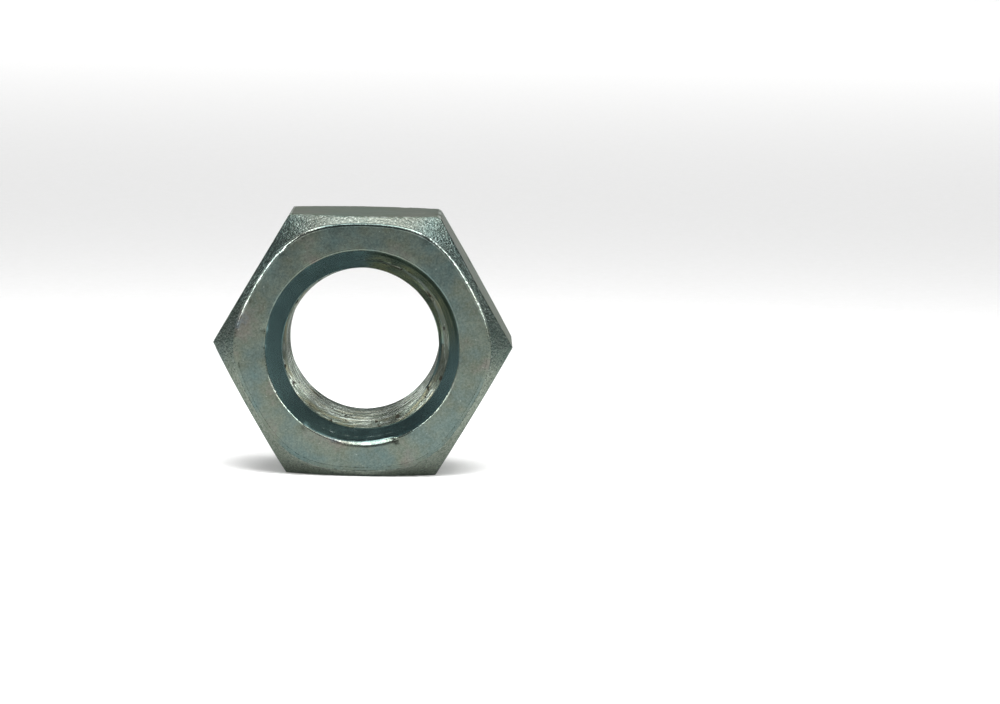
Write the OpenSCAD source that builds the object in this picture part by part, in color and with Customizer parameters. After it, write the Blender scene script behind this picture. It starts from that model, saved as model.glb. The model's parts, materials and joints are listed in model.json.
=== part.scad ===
// Hex nut with a coarse metric thread, chamfered and countersunk at both faces.
// It stands on one of its flats with the thread axis along Y. The origin is on the thread
// axis, in the plane of the back bearing face, and the front face looks towards -Y.

/* [Hexagon] */
// Width across flats, which is the wrench size
across_flats = 30; // [28:0.1:36]
// Thickness from bearing face to bearing face
thickness = 17; // [14:0.1:24]

/* [Outer chamfers] */
// Diameter of the flat bearing face that each chamfer leaves
bearing_d = 28.2; // [26:0.1:29.8]
// Angle between the chamfer and the bearing face, in degrees
chamfer_angle = 40; // [15:1:50]

/* [Threaded hole] */
// Diameter of the hole across the crests of its thread, for an M20 x 2.5 bolt
thread_minor_d = 17.5; // [17.3:0.01:17.74]
// Diameter of each countersink where it meets the bearing face
countersink_d = 22.4; // [20.5:0.1:24]
// Full angle of each countersink's cone, in degrees
countersink_angle = 75; // [50:1:120]

/* [Hidden] */

// Smoothness of the cones and the hole
$fn = 180;
// How far cutting tools run past the faces
overrun = 1;

across_corners = across_flats / cos(30);
countersink_slope = tan(countersink_angle / 2);
countersink_depth = (countersink_d - thread_minor_d) / 2 / countersink_slope;
steel = [0.50, 0.55, 0.54];

// Turns a shape drawn upwards from the origin into one that runs from the front face to the back
module along_thread() {
    translate([0, -thickness, 0]) rotate([-90, 0, 0]) children();
}

// Applies a shape drawn at the front face to both faces
module at_both_faces() {
    children();
    translate([0, 0, thickness]) mirror([0, 0, 1]) children();
}

// Six flats, with two of them level and a corner on each side
module hex_prism() {
    cylinder(h = thickness, d = across_corners, $fn = 6);
}

// A cone that opens away from the bearing face and trims the corners of the hexagon
module chamfer_cone() {
    cylinder(
        h = thickness,
        r1 = bearing_d / 2,
        r2 = bearing_d / 2 + thickness / tan(chamfer_angle)
    );
}

module chamfered_hexagon() {
    intersection() {
        hex_prism();
        chamfer_cone();
        translate([0, 0, thickness]) mirror([0, 0, 1]) chamfer_cone();
    }
}

// The cone of a countersink, from outside the face down to the thread's crests
module countersink() {
    translate([0, 0, -overrun])
        cylinder(
            h = overrun + countersink_depth,
            r1 = countersink_d / 2 + overrun * countersink_slope,
            r2 = thread_minor_d / 2
        );
}

module threaded_hole() {
    translate([0, 0, -overrun]) cylinder(h = thickness + 2 * overrun, d = thread_minor_d);
    at_both_faces() countersink();
}

module nut_body() {
    color(steel)
        along_thread()
            difference() {
                chamfered_hexagon();
                threaded_hole();
            }
}

nut_body();
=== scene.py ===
# A zinc-plated hex nut that stands on one flat, in metres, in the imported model's frame.
# The thread runs along Y with the front face towards -Y. Depths are measured from the front face.
# Angles round the thread axis start at +X and rise towards +Z.
import json
import math
import random

import bpy
import numpy as np
from mathutils import Matrix, Vector, noise


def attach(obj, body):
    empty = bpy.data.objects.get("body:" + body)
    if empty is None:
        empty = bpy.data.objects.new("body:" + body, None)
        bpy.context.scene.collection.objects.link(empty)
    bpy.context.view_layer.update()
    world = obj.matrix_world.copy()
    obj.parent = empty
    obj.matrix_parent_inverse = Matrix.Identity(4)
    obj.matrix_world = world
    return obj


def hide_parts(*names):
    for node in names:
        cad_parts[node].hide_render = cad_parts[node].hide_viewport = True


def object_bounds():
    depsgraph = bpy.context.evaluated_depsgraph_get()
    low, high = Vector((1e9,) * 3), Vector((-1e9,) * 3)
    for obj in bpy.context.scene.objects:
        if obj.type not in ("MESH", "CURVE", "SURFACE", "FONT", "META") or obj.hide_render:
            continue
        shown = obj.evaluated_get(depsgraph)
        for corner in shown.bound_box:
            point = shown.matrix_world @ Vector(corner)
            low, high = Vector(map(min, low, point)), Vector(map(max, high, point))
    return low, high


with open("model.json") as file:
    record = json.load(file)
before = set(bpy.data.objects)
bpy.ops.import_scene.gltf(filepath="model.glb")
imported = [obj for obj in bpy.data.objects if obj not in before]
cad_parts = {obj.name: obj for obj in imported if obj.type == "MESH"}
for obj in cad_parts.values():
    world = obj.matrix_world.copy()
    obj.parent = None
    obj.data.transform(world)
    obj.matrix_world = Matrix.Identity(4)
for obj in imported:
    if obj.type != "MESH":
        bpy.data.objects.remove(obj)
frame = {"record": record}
cad_low, cad_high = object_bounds()

MM = 0.001
NODE = "nut_body"
THREAD_MOUNT = next(m for m in frame["record"]["mounts"] if m["name"] == "thread")

# Sizes of the nut, in millimetres.
FRONT = cad_low.y / MM
THICKNESS = (cad_high.y - cad_low.y) / MM
HALF_FLATS = (cad_high.z - cad_low.z) / MM / 2
# Half the angle that one flat takes up and the whole angle, in degrees.
HALF_SIXTH = 30
SIXTH = 2 * HALF_SIXTH
BEARING_RADIUS = 14.1
CHAMFER_SLOPE = math.tan(math.radians(40))
MINOR_RADIUS = THREAD_MOUNT["dims"]["r_mm"]
MAJOR_RADIUS = 10.05
PITCH = 2.5
COUNTERSINK_RADIUS = 11.2
COUNTERSINK_SLOPE = math.tan(math.radians(37.5))
# Where the thread's groove is centred at angle 0, from the front face.
THREAD_START = 2.0

# Roundings of the edges, in millimetres. The corner at WORN_CORNER degrees is rounder than the rest.
CORNER_ROUNDING = 0.18
WORN_CORNER = 60
WORN_CORNER_ROUNDING = 0.7
BEARING_ROUNDING = 0.7
FLAT_ROUNDING = 0.3
RIM_ROUNDING = 0.36
# How much further out the bearing face reaches at the corners than between them.
CORNER_SPREAD = 0.55
# A crescent-shaped lip on the front rim near its lowest point: the angles between which it grows
# to its full size and ends again, and the radius and depth of its inner edge.
LIP_GROWS = (238, 284)
LIP_ENDS = (288, 293)
LIP_RADIUS = 10.84
LIP_DEPTH = 0.40
# Depth at which the countersink's own rows hand over to the rows that follow the thread.
RIM_DEPTH = 0.6

# Straight stretches of a slice and the number of parts in each, from countersink to countersink.
STRETCHES = [
    ("countersink", 2), ("face", 9), ("chamfer", 8), ("flat", 48),
    ("chamfer", 8), ("face", 9), ("countersink", 2),
]
# The number of steps in each rounding between two stretches.
ROUNDING_STEPS = [5, 6, 4, 4, 6, 5]
# What a vertex can belong to. The crest's value says how far up the thread the vertex is.
SURFACES = ["countersink", "face", "chamfer", "flat", "edge", "ridge", "thread", "crest"]
# Roundings at the rims and the bearing faces are edges, and those round the flats are ridges.
ROUNDING_SURFACES = ["edge", "edge", "ridge", "ridge", "edge", "edge"]
# Half the angle, in degrees, over which a corner between two flats counts as a ridge.
RIDGE_REACH = 0.7
# The step between columns of the mesh, in degrees, and where extra ones stand near a corner.
COLUMN_STEP = 1.25
NEAR_CORNER = [-0.8, -0.55, -0.35, -0.17, 0.17, 0.35, 0.55, 0.8]
# Shares of a pitch: half the groove's root and half the crest. The rises are steps up the flank.
ROOT_HALF = 0.07
CREST_HALF = 0.13
FLANK_RISES = (0.015, 0.06, 0.14, 0.4, 0.7, 0.88, 0.965, 0.995)


def add_object(name, data):
    """Puts a new object that shows a mesh, a light or a camera into the scene."""
    thing = bpy.data.objects.new(name, data)
    bpy.context.scene.collection.objects.link(thing)
    return thing


# ---- Mesh ----

def column_angles():
    """Angles round the thread axis, evenly spaced, with extra ones where the corners are round."""
    even = np.arange(0, 360, COLUMN_STEP)
    extra = [(corner + step) % 360 for corner in range(0, 360, SIXTH) for step in NEAR_CORNER]
    return np.radians(np.unique(np.round(np.concatenate([even, extra]), 6)))


def degrees_off_corner(angle):
    """How far an angle is from the nearest corner of the hexagon, in degrees."""
    return abs((math.degrees(angle) + HALF_SIXTH) % SIXTH - HALF_SIXTH)


def hexagon_radius(angle):
    """Distance from the axis to the hexagon's outline, whose corners are slightly round."""
    off = math.radians(degrees_off_corner(angle))
    half_sixth = math.radians(HALF_SIXTH)
    near_worn = abs(math.degrees(angle) - WORN_CORNER) < HALF_SIXTH
    rounding = WORN_CORNER_ROUNDING if near_worn else CORNER_ROUNDING
    centre = (HALF_FLATS - rounding) / math.cos(half_sixth)
    reach = math.atan2(rounding / 2, centre + rounding * math.cos(half_sixth))
    if off < reach:
        return centre * math.cos(off) + math.sqrt(rounding**2 - (centre * math.sin(off)) ** 2)
    return HALF_FLATS / math.cos(half_sixth - off)


def bearing_radius(angle):
    """Radius of the bearing face, which reaches a little further out towards the corners."""
    towards_corner = 0.5 + 0.5 * math.cos(6 * angle)
    return BEARING_RADIUS + CORNER_SPREAD * towards_corner


def smooth_step(value, low, high):
    """0 below low, 1 above high, and a smooth rise between them."""
    share = max(0.0, min(1.0, (value - low) / (high - low)))
    return share * share * (3 - 2 * share)


def with_lip(arc, angle):
    """The rim's arc, pulled towards the straight slope of the lip where the rim has one."""
    degrees = math.degrees(angle)
    size = smooth_step(degrees, *LIP_GROWS) * (1 - smooth_step(degrees, *LIP_ENDS))
    inner, outer = np.array((LIP_RADIUS, LIP_DEPTH)), arc[-1]
    slope = [inner + (outer - inner) * k / (len(arc) - 1) for k in range(len(arc))]
    return [point + (target - point) * size for point, target in zip(arc, slope)]


def arc_points(before, at, after, radius, steps):
    """Points of an arc that rounds the corner at a path's middle point, ends included."""
    before, at, after = (np.array(p, float) for p in (before, at, after))
    arrive = (at - before) / np.linalg.norm(at - before)
    leave = (after - at) / np.linalg.norm(after - at)
    turn = math.acos(max(-1, min(1, float(arrive @ leave))))
    cut = radius * math.tan(turn / 2)
    inward = (leave - arrive) / np.linalg.norm(leave - arrive)
    centre = at + inward * radius / math.cos(turn / 2)
    start, end = at - arrive * cut - centre, at + leave * cut - centre
    points = []
    for k in range(steps + 1):
        share = k / steps
        spread = (math.sin((1 - share) * turn) * start + math.sin(share * turn) * end) / math.sin(turn)
        points.append(centre + spread)
    return points


def outer_slice(angle):
    """The outside of the nut at one angle, as (radius, depth) from one countersink round to the other."""
    outline = hexagon_radius(angle)
    edge_depth = (outline - BEARING_RADIUS) * CHAMFER_SLOPE
    half = [
        (COUNTERSINK_RADIUS - RIM_DEPTH * COUNTERSINK_SLOPE, RIM_DEPTH),
        (COUNTERSINK_RADIUS, 0),
        (bearing_radius(angle), 0),
        (outline, edge_depth),
    ]
    corners = half + [(r, THICKNESS - d) for r, d in reversed(half)]
    roundings = [RIM_ROUNDING, BEARING_ROUNDING, FLAT_ROUNDING]
    roundings += roundings[::-1]
    points = [np.array(corners[0], float)]
    for k, (_, parts) in enumerate(STRETCHES):
        if k < len(ROUNDING_STEPS):
            arc = arc_points(corners[k], corners[k + 1], corners[k + 2], roundings[k], ROUNDING_STEPS[k])
        else:
            arc = [np.array(corners[-1], float)]
        if k == 0:
            arc = with_lip(arc, angle)
        begin = points[-1]
        points += [begin + (arc[0] - begin) * n / parts for n in range(1, parts + 1)]
        points += arc[1:]
    return points


def ring_surfaces():
    """The surface that each point of a slice belongs to, in the order of outer_slice."""
    names = [STRETCHES[0][0]]
    for k, (surface, parts) in enumerate(STRETCHES):
        names += [surface] * parts
        if k < len(ROUNDING_STEPS):
            names += [ROUNDING_SURFACES[k]] * (ROUNDING_STEPS[k] - 1) + [STRETCHES[k + 1][0]]
    return names


def thread_rows():
    """Rows of one pitch of the thread as (share of the pitch, rise), from one groove to the next."""
    flank = 0.5 - ROOT_HALF - CREST_HALF
    half = [(0, 0), (0.5 * ROOT_HALF, 0)]
    half += [(ROOT_HALF + flank * rise, rise) for rise in FLANK_RISES]
    half.append((0.5 - CREST_HALF * 0.75, 1))
    mirrored = [(1 - share, rise) for share, rise in reversed(half[1:])]
    return half + [(0.5, 1)] + mirrored


class MeshParts:
    """The vertices and faces of the nut while they are gathered, in millimetres."""

    def __init__(self):
        self.verts = []
        self.faces = []
        self.marks = []

    def add_vertex(self, radius, depth, angle, **marks):
        self.verts.append((radius * math.cos(angle), FRONT + depth, radius * math.sin(angle)))
        self.marks.append([marks.get(name, 0.0) for name in SURFACES])
        return len(self.verts) - 1

    def add_face(self, corners):
        """Adds a face without its repeated corners, if at least three are left."""
        loop = [v for k, v in enumerate(corners) if v != corners[k - 1]]
        if len(set(loop)) > 2:
            self.faces.append(loop)


def add_outside(parts, angles):
    """Adds the outer rings and returns the index of each vertex as [column, ring]."""
    surfaces = ring_surfaces()
    index = np.zeros((len(angles), len(surfaces)), int)
    for column, angle in enumerate(angles):
        on_ridge = degrees_off_corner(angle) < RIDGE_REACH
        for ring, (radius, depth) in enumerate(outer_slice(angle)):
            surface = "ridge" if on_ridge and surfaces[ring] == "flat" else surfaces[ring]
            index[column, ring] = parts.add_vertex(radius, depth, angle, **{surface: 1.0})
    for column in range(len(angles)):
        after = (column + 1) % len(angles)
        for ring in range(len(surfaces) - 1):
            parts.add_face([
                index[column, ring], index[column, ring + 1], index[after, ring + 1], index[after, ring],
            ])
    return index


def add_bore(parts, angles, outside):
    """Adds the thread between the two countersinks, with rows that climb with the helix."""
    pitch_rows = thread_rows()
    per_pitch = len(pitch_rows)
    # A helix climbs by a pitch in one turn, so the rows start early and end late.
    first_pitch, last_pitch = -2, math.ceil(THICKNESS / PITCH) + 2
    row_count = (last_pitch - first_pitch) * per_pitch
    index = np.zeros((len(angles), row_count), int)
    for column, angle in enumerate(angles):
        for row in range(row_count):
            # Rows before and after the thread join the rims' last points.
            share, rise = pitch_rows[row % per_pitch]
            turns = first_pitch + row // per_pitch + share - angle / (2 * math.pi)
            depth = THREAD_START + PITCH * turns
            if depth <= RIM_DEPTH:
                index[column, row] = outside[column, 0]
            elif depth >= THICKNESS - RIM_DEPTH:
                index[column, row] = outside[column, -1]
            else:
                radius = MAJOR_RADIUS - (MAJOR_RADIUS - MINOR_RADIUS) * rise
                cone = COUNTERSINK_RADIUS - min(depth, THICKNESS - depth) * COUNTERSINK_SLOPE
                if cone > radius:
                    index[column, row] = parts.add_vertex(cone, depth, angle, countersink=1.0)
                else:
                    index[column, row] = parts.add_vertex(radius, depth, angle, thread=1.0, crest=rise)
    for column in range(len(angles)):
        # One turn on, at the first column again, the helix has climbed by a pitch.
        after = (column + 1) % len(angles)
        climb = per_pitch if after == 0 else 0
        for row in range(row_count - 1):
            low, high = max(row - climb, 0), max(row + 1 - climb, 0)
            parts.add_face([
                index[column, row], index[after, low], index[after, high], index[column, row + 1],
            ])


def vertex_normals(mesh):
    """Normals weighted by the area of the faces, so that flat faces stay flat next to small roundings."""
    count = len(mesh.polygons)
    normals = np.zeros(count * 3)
    areas = np.zeros(count)
    mesh.polygons.foreach_get("normal", normals)
    mesh.polygons.foreach_get("area", areas)
    corner_verts = np.zeros(len(mesh.loops), int)
    mesh.loops.foreach_get("vertex_index", corner_verts)
    sizes = np.zeros(count, int)
    mesh.polygons.foreach_get("loop_total", sizes)
    weighted = np.repeat(normals.reshape(-1, 3) * areas[:, None], sizes, axis=0)
    total = np.zeros((len(mesh.vertices), 3))
    np.add.at(total, corner_verts, weighted)
    return total / np.linalg.norm(total, axis=1)[:, None]


def place_of(angle, radius, depth):
    """A point in millimetres from its angle in degrees, its radius and its depth."""
    turn = math.radians(angle)
    return (radius * math.cos(turn), FRONT + depth, radius * math.sin(turn))


# Dents that can be told apart, as (angle, radius, depth, width, how deep they go).
DENTS = [
    (291, 11.42, 0.0, 0.40, 0.14),
    (36.5, 15.1, 13.4, 0.42, 0.13),
    (43, 15.3, 5.2, 0.40, 0.03),
    (131, 14.5, 0.2, 0.60, 0.10),
    (38, 15.1, 12.3, 0.40, 0.07),
    (205, 14.4, 0.0, 0.50, 0.08),
    (318, 14.5, 0.1, 0.45, 0.07),
    (245, 15.2, 9.0, 0.60, 0.06),
    (152, 15.3, 11.4, 0.70, 0.07),
]
NICK_COUNT = 90
NICK_SEED = 20
NICK_WIDTHS = (0.35, 0.85)
NICK_SINKS = (0.015, 0.07)
# Slow and quick waves of the surface, as (waves per millimetre, depth), and their share in the bore.
SLOW_WAVES = (0.22, 0.022)
QUICK_WAVES = (0.8, 0.006)
BORE_WAVE_SHARE = 0.3


def wave_depth(point):
    """Depth of the surface's waves at a point, which is never below 0."""
    slow = noise.noise(Vector(point) * SLOW_WAVES[0])
    quick = noise.noise(Vector(point) * QUICK_WAVES[0] + Vector((40, 7, 3)))
    return SLOW_WAVES[1] * (1 + slow) + QUICK_WAVES[1] * (1 + quick)


def dent(points, centre, width, sink):
    """How far a round dent pushes each point in."""
    apart = np.linalg.norm(points - np.array(centre), axis=1) / width
    return sink * np.clip(1 - apart**2, 0, None) ** 2


def wear(points, marks):
    """How far each vertex is pushed in: slow waves everywhere, dents, and nicks along the edges."""
    mark = {name: marks[:, k] for k, name in enumerate(SURFACES)}
    push = np.zeros(len(points))
    bore = mark["thread"] + mark["countersink"]
    for k, point in enumerate(points):
        push[k] = (BORE_WAVE_SHARE if bore[k] else 1.0) * wave_depth(point)
    for angle, radius, depth, width, sink in DENTS:
        push += dent(points, place_of(angle, radius, depth), width, sink)
    draw = random.Random(NICK_SEED)
    edges = np.flatnonzero(mark["edge"] + mark["ridge"])
    for _ in range(NICK_COUNT):
        centre = points[edges[draw.randrange(len(edges))]]
        width = draw.uniform(*NICK_WIDTHS)
        push += dent(points, centre, width, draw.uniform(*NICK_SINKS))
    return push


def build_nut():
    angles = column_angles()
    parts = MeshParts()
    outside = add_outside(parts, angles)
    add_bore(parts, angles, outside)
    points, marks = np.array(parts.verts), np.array(parts.marks)
    mesh = bpy.data.meshes.new("nut")
    mesh.from_pydata((points * MM).tolist(), [], parts.faces)
    points = points - vertex_normals(mesh) * wear(points, marks)[:, None]
    mesh.vertices.foreach_set("co", (points * MM).ravel())
    mesh.update()
    for k, name in enumerate(SURFACES):
        attribute = mesh.attributes.new(name, "FLOAT", "POINT")
        attribute.data.foreach_set("value", marks[:, k])
    mesh.polygons.foreach_set("use_smooth", [True] * len(mesh.polygons))
    mesh.normals_split_custom_set_from_vertices(vertex_normals(mesh).tolist())
    return add_object("nut", mesh)


# ---- Material ----

def set_stops(ramp, stops):
    """Gives a colour ramp its (place, colour) stops."""
    while len(ramp.elements) < len(stops):
        ramp.elements.new(1.0)
    for element, (place, colour) in zip(ramp.elements, stops):
        element.position = place
        element.color = (*colour, 1)


class Graph:
    """A short way to add nodes to a material and to join them."""

    def __init__(self, name):
        self.material = bpy.data.materials.new(name)
        self.material.use_nodes = True
        self.tree = self.material.node_tree
        self.shader = self.tree.nodes["Principled BSDF"]

    def fill(self, socket, value):
        if isinstance(value, bpy.types.NodeSocket):
            self.tree.links.new(value, socket)
        elif isinstance(value, tuple) and len(value) == 3 and socket.type == "RGBA":
            socket.default_value = (*value, 1)
        else:
            socket.default_value = value

    def add(self, kind, output=0, inputs=(), **settings):
        node = self.tree.nodes.new("ShaderNode" + kind)
        for key, value in settings.items():
            setattr(node, key, value)
        for key, value in dict(inputs).items():
            self.fill(node.inputs[key], value)
        return node.outputs[output]

    def math(self, operation, first, second=0.0):
        return self.add("Math", inputs={0: first, 1: second}, operation=operation)

    def product(self, first, *others):
        for other in others:
            first = self.math("MULTIPLY", first, other)
        return first

    def total(self, first, *others):
        for other in others:
            first = self.math("ADD", first, other)
        return first

    def less(self, first, second):
        return self.math("SUBTRACT", first, second)

    def scaled(self, vector, factor):
        return self.add("VectorMath", inputs={0: vector, "Scale": factor}, operation="SCALE")

    def moved(self, vector, step):
        return self.add("VectorMath", inputs={0: vector, 1: step}, operation="ADD")

    def noise(self, vector, scale, detail=2.0, roughness=0.5):
        inputs = {"Vector": vector, "Scale": scale, "Detail": detail, "Roughness": roughness}
        return self.add("TexNoise", inputs=inputs)

    def rise(self, value, low, high, top=1.0):
        """0 up to low, the top value from high on, and smooth between. Low may be the greater one."""
        inputs = {"Value": value, "From Min": low, "From Max": high, "To Max": top}
        return self.add("MapRange", inputs=inputs, interpolation_type="SMOOTHSTEP")

    def near(self, value, middle, outer, inner):
        """1 within the inner distance of the middle value, and 0 beyond the outer distance."""
        return self.rise(self.math("ABSOLUTE", self.less(value, middle)), outer, inner)

    def spread(self, value, low, high):
        """Stretches a noise value, which stays near its middle, to between low and high."""
        inputs = {"Value": value, "From Min": 0.3, "From Max": 0.7, "To Min": low, "To Max": high}
        return self.add("MapRange", inputs=inputs)

    def mix(self, share, first, second, blend="MIX"):
        inputs = {0: share, 6: first, 7: second}
        return self.add("Mix", 2, inputs, data_type="RGBA", blend_type=blend)

    def ramp(self, value, stops):
        node = self.tree.nodes.new("ShaderNodeValToRGB")
        set_stops(node.color_ramp, stops)
        self.fill(node.inputs[0], value)
        return node.outputs[0]

    def mark(self, name):
        return self.add("Attribute", "Fac", attribute_name=name)


# Colours of the plating where it is thin or thick, of its dark places, of worn metal and of rust, and
# colours that paint shade, light and highlights on it.
TEAL = (0.064, 0.100, 0.098)
GREY_GREEN = (0.079, 0.104, 0.093)
OLIVE = (0.091, 0.105, 0.081)
STRAW_PINK = (0.115, 0.108, 0.093)
BLUISH = (0.082, 0.100, 0.116)
# Bare zinc for scratches and wear, also used as the colour of painted highlights and glints.
BARE_ZINC_AND_HIGHLIGHT = (0.42, 0.47, 0.44)
CHAMFER_TEAL = (0.060, 0.082, 0.077)
# Painted shade: darkens and greys the top of the chamfers, where the overhead lamp's reflection falls.
PAINTED_SHADE_TOP_CHAMFER = (0.066, 0.068, 0.057)
# Painted light: makes the low chamfers paler against the shade of the floor beneath them.
PAINTED_LIGHT_LOW_CHAMFER = (0.140, 0.158, 0.130)
BORE_GREY = (0.046, 0.055, 0.044)
WORN_STEEL = (0.190, 0.212, 0.192)
TAN = (0.075, 0.071, 0.043)
BORE_BLUE = (0.070, 0.098, 0.094)
DARK_OLIVE = (0.100, 0.130, 0.085)
# Painted highlight on the inner band of the front countersink's olive quarter.
PAINTED_HIGHLIGHT_OLIVE = (0.210, 0.240, 0.140)
RUST = (0.016, 0.013, 0.010)
DEEP_TEAL = (0.118, 0.205, 0.210)
# Painted shade at the bottom of the countersinks.
PAINTED_SHADE_LOW_TEAL = (0.020, 0.035, 0.034)
RING_SHADE = (0.030, 0.050, 0.035)
PIT_SHADE = (0.022, 0.036, 0.034)
GRAZING_TINT = (0.46, 0.51, 0.45, 1)
# Clouds of colour all over, and the fainter tints that show on the flats.
CLOUD_TINTS = [
    (0.05, TEAL), (0.35, GREY_GREEN), (0.60, OLIVE), (0.85, STRAW_PINK), (1.0, BLUISH),
]
FLAT_TINTS = [
    (0.25, (0.070, 0.122, 0.104)), (0.45, (0.098, 0.112, 0.082)),
    (0.60, (0.116, 0.096, 0.100)), (0.75, (0.078, 0.100, 0.132)),
]
# Faint half-round scratches, as (middle of the circle, its radius, the side that is drawn).
SCRATCHES = [
    ((10.3, -3.4, 12.2), 2.05, (0, 0.35, 1)),
    ((-10.6, -11.2, 11.6), 2.9, (0, 1, -0.4)),
    ((-11.8, -5.0, -9.5), 2.4, (0, -1, 0.3)),
    ((3.5, -9.5, 15.0), 3.3, (1, 0.6, 0)),
]
# Radii of the rings in the olive part of the front countersink, whose inner band carries a painted
# highlight, and of the painted highlight dashes at its bottom.
DARK_RING_RADIUS = 10.86
INNER_BAND_RADIUS = 10.74
HIGHLIGHT_DASHES_RADIUS = 10.46
# Between these radii the rim's edge gives way to the bearing face's outer edge.
EDGE_SPLIT = (12.5, 13.0)


class Zinc(Graph):
    """Zinc plating over steel. Its places, like the sizes above, are in millimetres."""

    def __init__(self):
        super().__init__("zinc plating")
        self.on = {name: self.mark(name) for name in SURFACES}
        self.place = self.scaled(self.add("TexCoord", "Object"), 1 / MM)
        x, self.y, z = (self.add("SeparateXYZ", k, {0: self.place}) for k in range(3))
        self.radius = self.math("SQRT", self.total(self.product(x, x), self.product(z, z)))
        # Where a point is on its ring: 1 at the far right or at the top, and -1 opposite.
        self.rightward = self.math("DIVIDE", x, self.radius)
        self.upward = self.math("DIVIDE", z, self.radius)
        self.low = self.rise(self.upward, -0.35, -0.92)
        self.outer = self.rise(self.radius, *EDGE_SPLIT)
        self.patches = self.noise(self.moved(self.place, (31, 5, 17)), 0.42, 4.0, 0.6)
        self.grain = self.noise(self.place, 4.5, 2.0, 0.6)
        self.hatching = self.noise(self.place, 3.9, 2.0, 0.6)
        # A space in which rings round the axis become layers, for marks left by turning.
        turned = self.stretched((self.radius, 7.0), (self.rightward, 4.5), (self.upward, 4.5))
        self.turning = self.noise(turned, 1.0, 3.0, 0.65)
        # A space in which lines along the thread become layers.
        self.bore_space = self.stretched((self.y, 6.0), (x, 0.42), (z, 0.42))
        self.bore_lines = self.noise(self.bore_space, 1.0, 4.0, 0.75)
        self.front_half = self.rise(self.y, -8.0, -9.0)
        self.highlight_dashes = self.painted_highlight_dashes()
        rust_noise = self.noise(self.moved(self.place, (9, 2, 4)), 1.3, 2.0, 0.6)
        self.rust = self.product(self.on["thread"], self.rise(rust_noise, 0.63, 0.67, 0.85))

    def stretched(self, *axes):
        """A vector made of (value, factor) pairs."""
        scaled = {k: self.product(value, factor) for k, (value, factor) in enumerate(axes)}
        return self.add("CombineXYZ", inputs=scaled)

    def painted_highlight_dashes(self):
        """Painted highlights: short bright dashes on a ring at the bottom of the front countersink."""
        ring = self.product(self.near(self.radius, HIGHLIGHT_DASHES_RADIUS, 0.07, 0.02), self.on["countersink"])
        broken = self.rise(self.noise(self.place, 1.4, 3.0, 0.7), 0.46, 0.62, 0.26)
        return self.product(ring, self.rise(self.low, 0.96, 1.0), self.front_half, broken)

    def plating(self):
        """Slow clouds of the plating's own colours, with fainter tints on the flats."""
        clouds = self.noise(self.place, 0.17, 4.0, 0.62)
        colour = self.ramp(self.spread(clouds, 0.0, 1.0), CLOUD_TINTS)
        colour = self.mix(self.spread(self.patches, 0.0, 0.55), colour, GREY_GREEN)
        shade = self.total(self.spread(self.grain, 0.78, 1.22), self.spread(self.patches, -0.12, 0.12))
        grey = self.add("CombineColor", inputs={0: shade, 1: shade, 2: shade})
        colour = self.mix(1.0, colour, grey, "MULTIPLY")
        tint = self.ramp(self.noise(self.moved(self.place, (7, 70, 21)), 0.13, 3.0, 0.55), FLAT_TINTS)
        return self.mix(self.product(self.on["flat"], 0.32), colour, tint)

    def with_countersinks(self, colour):
        """Teal, with painted shade that darkens the bottom. The front one's upper right quarter is olive,
        with rings and a painted highlight on its inner band.
        """
        countersink = self.on["countersink"]
        colour = self.mix(self.product(countersink, 0.85), colour, DEEP_TEAL)
        quarter = self.product(self.rise(self.rightward, -0.04, 0.20), self.rise(self.upward, -0.15, 0.45))
        quarter = self.product(quarter, countersink, self.front_half)
        colour = self.mix(self.product(quarter, 0.7), colour, DARK_OLIVE)
        # Painted shade: the countersinks are darker at the bottom.
        colour = self.mix(self.product(self.low, countersink, 0.85), colour, PAINTED_SHADE_LOW_TEAL)
        # Painted highlight: bright dashes at the bottom of the front countersink.
        colour = self.mix(self.highlight_dashes, colour, BARE_ZINC_AND_HIGHLIGHT)
        dark_ring = self.near(self.radius, DARK_RING_RADIUS, 0.17, 0.08)
        colour = self.mix(self.product(quarter, dark_ring), colour, RING_SHADE)
        # Painted highlight in streaks on the inner band of the olive quarter.
        highlight_band = self.rise(self.radius, INNER_BAND_RADIUS, INNER_BAND_RADIUS - 0.12)
        streaks = self.rise(self.turning, 0.40, 0.60)
        return self.mix(self.product(quarter, highlight_band, streaks), colour, PAINTED_HIGHLIGHT_OLIVE)

    def with_chamfers(self, colour):
        """Teal chamfers, greyer and darker at the top as painted shade under the lamp's reflection, paler
        low down as painted light, with painted shade in the hatching's pits and painted glints on it.
        """
        chamfer = self.on["chamfer"]
        colour = self.mix(self.product(chamfer, 0.65), colour, CHAMFER_TEAL)
        # Painted shade at the top of the chamfers, where the overhead lamp's reflection falls.
        high = self.product(chamfer, self.rise(self.upward, 0.86, 0.95))
        colour = self.mix(self.product(high, 0.7), colour, PAINTED_SHADE_TOP_CHAMFER)
        # Painted light on the low chamfers, against the floor's shade under them.
        low = self.product(chamfer, self.rise(self.upward, 0.02, -0.25))
        colour = self.mix(self.product(low, 0.8), colour, PAINTED_LIGHT_LOW_CHAMFER)
        # Painted shade in the hatching's pits and painted glints on it.
        pits = self.product(chamfer, self.rise(self.hatching, 0.52, 0.64, 0.50))
        colour = self.mix(pits, colour, PIT_SHADE)
        painted_glints = self.product(chamfer, self.rise(self.hatching, 0.44, 0.34, 0.16))
        colour = self.mix(painted_glints, colour, BARE_ZINC_AND_HIGHLIGHT)
        # The edge of the bearing face is painted darker at the top, painted shade that hides its highlight
        # where it fades into the face.
        painted_shade_edge = self.product(self.on["edge"], self.rise(self.upward, 0.90, 0.97, 0.75), self.outer)
        return self.mix(painted_shade_edge, colour, CHAMFER_TEAL)

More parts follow.
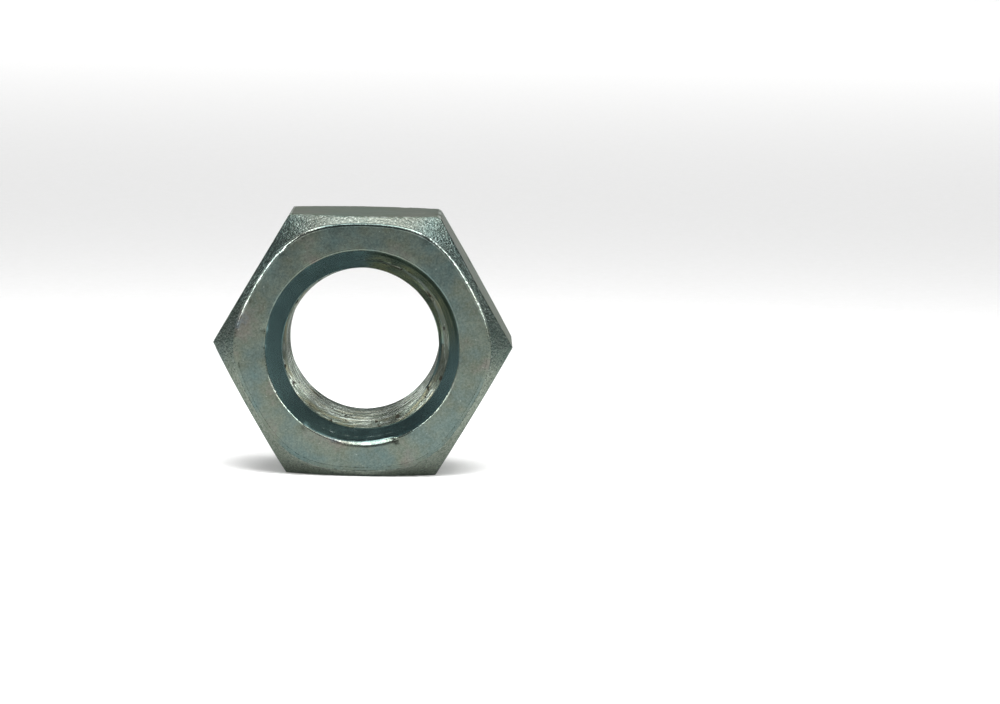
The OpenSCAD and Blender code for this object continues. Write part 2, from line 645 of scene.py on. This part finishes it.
    def with_bore(self, colour):
        """A grey thread with bare and tan lines, bluish towards the back, and spots of rust."""
        thread = self.on["thread"]
        colour = self.mix(self.product(thread, 0.9), colour, BORE_GREY)
        bare_lines = self.rise(self.bore_lines, 0.52, 0.66, 0.75)
        colour = self.mix(self.product(thread, bare_lines), colour, WORN_STEEL)
        tan_noise = self.noise(self.moved(self.bore_space, (13, 4, 6)), 0.8, 3.0, 0.6)
        colour = self.mix(self.product(thread, self.rise(tan_noise, 0.50, 0.62, 0.6)), colour, TAN)
        colour = self.mix(self.product(thread, self.rise(self.y, -6.5, -3.5, 0.40)), colour, BORE_BLUE)
        worn_crest = self.rise(self.on["crest"], 0.75, 0.98)
        worn_crest = self.product(worn_crest, self.rise(self.patches, 0.40, 0.56, 0.5))
        colour = self.mix(worn_crest, colour, WORN_STEEL)
        return self.mix(self.rust, colour, RUST)

    def with_scratches(self, colour):
        scratched = 0.0
        for middle, reach, side in SCRATCHES:
            away = self.add("VectorMath", "Vector", {0: self.place, 1: middle}, operation="SUBTRACT")
            distance = self.add("VectorMath", "Value", {0: away}, operation="LENGTH")
            along = self.add("VectorMath", "Value", {0: away, 1: side}, operation="DOT_PRODUCT")
            line = self.near(distance, reach, 0.15, 0.02)
            scratched = self.total(scratched, self.product(line, self.rise(along, -0.6, 0.6)))
        broken = self.rise(self.noise(self.place, 1.2, 3.0, 0.7), 0.38, 0.60, 0.34)
        return self.mix(self.product(scratched, broken), colour, BARE_ZINC_AND_HIGHLIGHT)

    def with_wear_and_painted_highlights(self, colour):
        """Bare metal on the upper ridges, and painted highlights with a little wear on the bearing face's
        upper edge and the rims' lower half, where the lamps' catch-lights fall.
        """
        bared = self.rise(self.noise(self.place, 1.6, 4.0, 0.75), 0.44, 0.60)
        # Painted highlights on the edges where the lamps' catch-lights fall, with a little wear mixed in.
        sides = self.product(self.rise(self.upward, 0.15, 0.30), self.rise(self.upward, 0.96, 0.90))
        rim_highlights = self.product(self.less(1.0, self.outer), self.rise(self.upward, -0.25, -0.45))
        rim_highlights = self.product(rim_highlights, self.less(1.0, self.product(self.low, 0.7)))
        edges = self.product(self.on["edge"], self.total(self.product(self.outer, sides), rim_highlights))
        edges = self.product(edges, self.total(0.07, self.product(bared, 0.32)))
        ridges = self.product(self.on["ridge"], self.rise(self.upward, -0.12, -0.02, 0.75), bared)
        colour = self.mix(self.total(edges, ridges), colour, BARE_ZINC_AND_HIGHLIGHT)
        specks = self.noise(self.moved(self.place, (3, 90, 8)), 2.6, 1.0, 0.5)
        return self.mix(self.rise(specks, 0.72, 0.78, 0.24), colour, BARE_ZINC_AND_HIGHLIGHT)

    def roughness(self):
        return self.total(
            self.spread(self.patches, 0.17, 0.24),
            self.product(self.on["chamfer"], 0.01),
            self.product(self.on["flat"], 0.12),
            self.product(self.on["countersink"], 0.02),
            self.product(self.highlight_dashes, 0.18),
            self.product(self.on["edge"], -0.04),
            self.product(self.rust, 0.35),
        )

    def relief(self):
        """Height of the fine relief: grain, turned rings, hatching, lines in the bore and drawn flats."""
        grain = self.product(self.grain, self.less(0.10, self.product(self.on["countersink"], 0.08)))
        rings = self.product(self.turning, self.total(self.product(self.on["chamfer"], 1.6), 0.05))
        # The hatching is shallower on the chamfers' highest parts.
        depth = self.less(4.2, self.rise(self.upward, 0.88, 0.97, 2.0))
        depth = self.total(self.product(self.on["chamfer"], depth), self.product(self.on["edge"], 0.9))
        hatching = self.product(self.hatching, depth)
        lines = self.product(self.bore_lines, self.on["thread"], 1.5)
        drawn = self.total(self.product(self.patches, 0.8), self.product(self.hatching, 0.12))
        return self.total(grain, rings, hatching, lines, self.product(drawn, self.on["flat"]))


def zinc_material():
    g = Zinc()
    colour = g.with_countersinks(g.plating())
    colour = g.with_bore(g.with_chamfers(colour))
    colour = g.with_wear_and_painted_highlights(g.with_scratches(colour))
    g.fill(g.shader.inputs["Base Color"], colour)
    # The countersinks have a small matt share, which evens out their teal.
    g.fill(g.shader.inputs["Metallic"], g.less(1.0, g.product(g.on["countersink"], 0.17)))
    g.fill(g.shader.inputs["Roughness"], g.roughness())
    g.shader.inputs["Specular Tint"].default_value = GRAZING_TINT
    bump = g.add("Bump", inputs={"Strength": 1.0, "Distance": 0.03 * MM, "Height": g.relief()})
    g.fill(g.shader.inputs["Normal"], bump)
    return g.material


# ---- Stage, lights and camera ----

def floor_material():
    g = Graph("floor paper")
    fibres = g.noise(g.add("TexCoord", "Object"), 900.0, 3.0)
    paper = g.ramp(fibres, [(0.3, (0.885, 0.885, 0.88)), (0.7, (0.91, 0.91, 0.91))])
    g.fill(g.shader.inputs["Base Color"], paper)
    g.shader.inputs["Roughness"].default_value = 0.9
    g.shader.inputs["Specular IOR Level"].default_value = 0.1
    return g.material


def build_floor():
    radius, sides = 4.0, 96
    ring = [2 * math.pi * k / sides for k in range(sides)]
    verts = [(radius * math.cos(a), radius * math.sin(a), cad_low.z) for a in ring]
    mesh = bpy.data.meshes.new("floor")
    mesh.from_pydata(verts, [], [list(range(sides))])
    mesh.materials.append(floor_material())
    add_object("floor", mesh)


def soft_light(name, place, aim, size, glow):
    """A rectangular light whose face has the given radiance."""
    light = bpy.data.lights.new(name, "AREA")
    light.shape = "RECTANGLE"
    light.size, light.size_y = size
    light.energy = glow * math.pi * size[0] * size[1]
    lamp = add_object(name, light)
    lamp.location = place
    lamp.rotation_euler = (Vector(aim) - Vector(place)).to_track_quat("-Z", "Y").to_euler()


def build_world():
    """A pale horizon, darker walls above it and a pale ceiling."""
    world = bpy.data.worlds.new("studio")
    bpy.context.scene.world = world
    world.use_nodes = True
    tree = world.node_tree
    direction = tree.nodes.new("ShaderNodeTexCoord").outputs["Generated"]
    height = tree.nodes.new("ShaderNodeSeparateXYZ")
    tree.links.new(direction, height.inputs[0])
    ramp = tree.nodes.new("ShaderNodeValToRGB")
    tree.links.new(height.outputs["Z"], ramp.inputs[0])
    levels = [(0.0, 0.95), (0.17, 0.74), (0.33, 0.28), (0.75, 0.30), (0.90, 0.62), (1.0, 0.75)]
    set_stops(ramp.color_ramp, [(place, (level, level, level)) for place, level in levels])
    background = tree.nodes["Background"]
    tree.links.new(ramp.outputs[0], background.inputs["Color"])


def build_lights():
    middle = (0, -0.0085, 0)
    soft_light("overhead", (0.028, -0.06, 0.18), (0.028, -0.06, 0), (0.225, 0.24), 2.9)
    soft_light("front left", (-0.225, -0.25, 0.135), middle, (0.05, 0.18), 20.0)
    soft_light("front right", (0.225, -0.25, 0.135), middle, (0.05, 0.18), 20.0)
    soft_light("near floor", (0.0075, -0.048, 0.085), (0.0075, -0.048, 0), (0.095, 0.042), 8.5)
    soft_light("backdrop wash", (0, 1.9, 1.5), (0, 1.9, 0), (3.0, 2.2), 1.8)


def build_camera():
    """Stands where the photograph was taken from: a little above the nut and to its right."""
    data = bpy.data.cameras.new("camera")
    data.lens = 139.6
    data.sensor_width = 36
    data.clip_end = 20
    camera = add_object("camera", data)
    place = Vector((0.01164, -0.45837, 0.05028))
    heading, pitch, roll = (math.radians(a) for a in (-0.54, 90 - 6.527, 1.11))
    turn = Matrix.Rotation(heading, 4, "Z") @ Matrix.Rotation(pitch, 4, "X") @ Matrix.Rotation(roll, 4, "Z")
    camera.matrix_world = Matrix.Translation(place) @ turn
    bpy.context.scene.camera = camera


build_camera()
build_floor()
build_world()
build_lights()
nut = build_nut()
nut.data.materials.append(zinc_material())
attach(nut, "root")
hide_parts(NODE)
bpy.context.scene.view_settings.view_transform = "Standard"
